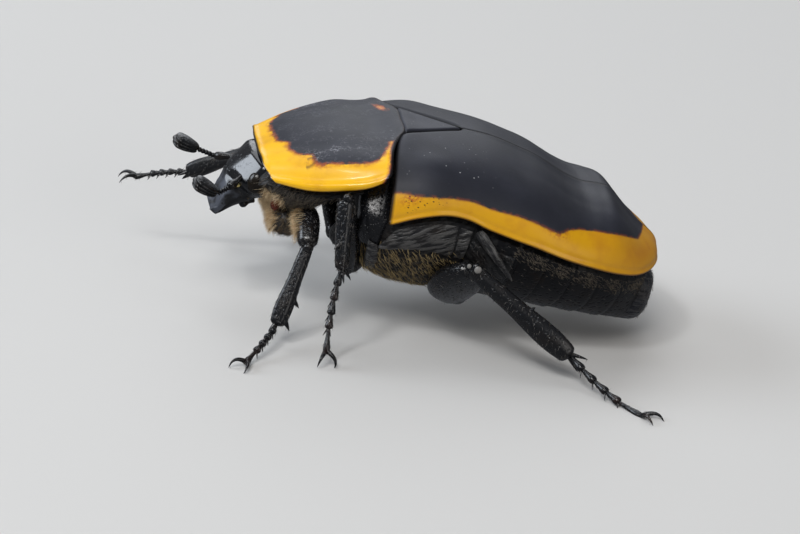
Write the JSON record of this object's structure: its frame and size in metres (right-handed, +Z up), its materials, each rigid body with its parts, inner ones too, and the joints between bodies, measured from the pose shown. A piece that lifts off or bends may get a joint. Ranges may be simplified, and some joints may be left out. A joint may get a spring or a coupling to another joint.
{
  "type": "sun beetle",
  "caption": "Life-size sun beetle with dark, yellow-edged wing cases, a still display model that stands on its feet with a front leg raised.",
  "frame": {"origin": "on the floor, under the middle of the bounding box; z = 0 is the floor that the feet stand on", "axes": "-X is the way the head points, +X the tail; -Y is the beetle's left side, +Y its right; +Z is up"},
  "size_m": [0.0292, 0.0252, 0.011],
  "materials": {
    "pronotum": "satin charcoal disc with a glossy yellow border",
    "elytra": "satin charcoal disc with a glossy yellow border",
    "scutellum": "satin, finely punctured",
    "head": "glossy, punctured",
    "eyes": "glossy",
    "palps": "glossy",
    "antennae": "glossy",
    "prothorax": "glossy under fine hair",
    "mesepimera": "glossy",
    "thorax": "satin, finely grooved, with short golden hair",
    "abdomen": "glossy with pale scaly patches along the side",
    "pygidium": "glossy, punctured",
    "coxae": "glossy, finely grooved",
    "femora": "glossy, punctured",
    "tibiae": "glossy, punctured",
    "tarsi": "glossy, slightly brown"
  },
  "bodies": {
    "root": {"abdomen": "abdomen", "antenna_left_club": "antennae", "antenna_left_stalk": "antennae", "antenna_right_club": "antennae", "antenna_right_stalk": "antennae", "coxa_front_left": "coxae", "coxa_front_right": "coxae", "coxa_hind_left": "coxae", "coxa_hind_right": "coxae", "coxa_middle_left": "coxae", "coxa_middle_right": "coxae", "elytron_left": "elytra", "elytron_right": "elytra", "eye_left": "eyes", "eye_right": "eyes", "femur_front_left": "femora", "femur_front_right": "femora", "femur_hind_left": "femora", "femur_hind_right": "femora", "femur_middle_left": "femora", "femur_middle_right": "femora", "head": "head", "mesepimeron_left": "mesepimera", "mesepimeron_right": "mesepimera", "palp_left": "palps", "palp_right": "palps", "pronotum": "pronotum", "prothorax": "prothorax", "pygidium": "pygidium", "scutellum": "scutellum", "tarsus_front_left": "tarsi", "tarsus_front_right": "tarsi", "tarsus_hind_left": "tarsi", "tarsus_hind_right": "tarsi", "tarsus_middle_left": "tarsi", "tarsus_middle_right": "tarsi", "thorax": "thorax", "tibia_front_left": "tibiae", "tibia_front_right": "tibiae", "tibia_hind_left": "tibiae", "tibia_hind_right": "tibiae", "tibia_middle_left": "tibiae", "tibia_middle_right": "tibiae"}
  },
  "joints": []
}
